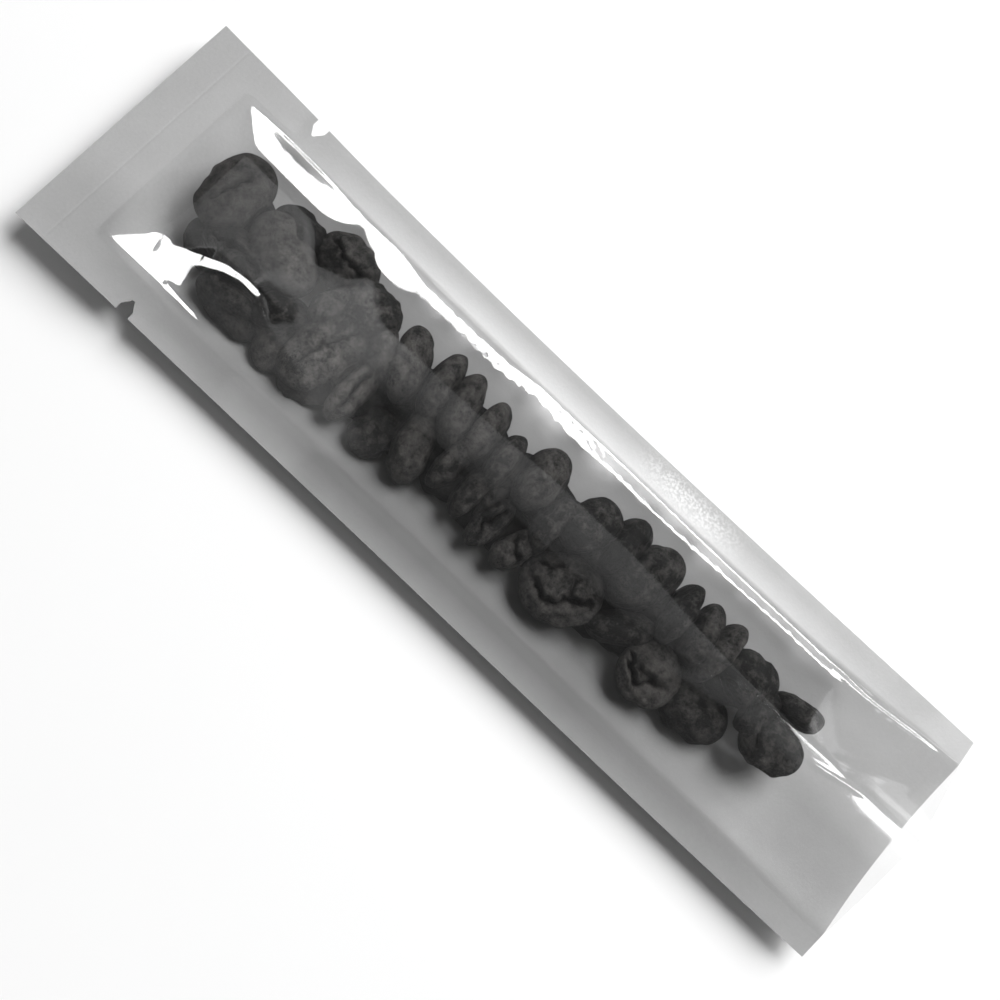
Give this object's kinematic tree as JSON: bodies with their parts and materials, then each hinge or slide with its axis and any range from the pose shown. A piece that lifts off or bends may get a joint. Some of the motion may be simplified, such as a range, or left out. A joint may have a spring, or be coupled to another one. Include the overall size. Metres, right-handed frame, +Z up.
{
  "type": "clear front foil pouch",
  "caption": "Slim stick pouch with a clear film front and a foil back, sealed round three sides and open at one end, lying flat and part filled with roasted coffee beans.",
  "frame": {"origin": "under the middle of the pouch, on the surface that it lies on", "axes": "+X from the sealed end to the open mouth, +Y across the pouch, +Z up out of the clear front"},
  "size_m": [0.13, 0.035, 0.0078],
  "materials": {
    "foil": "satin metallised laminate",
    "clear_film": "glossy clear plastic film",
    "roasted_beans": "dry satin, dark roast"
  },
  "bodies": {
    "root": {"back_foil": "foil", "front_film": "clear_film", "beans": "roasted_beans"}
  },
  "joints": []
}
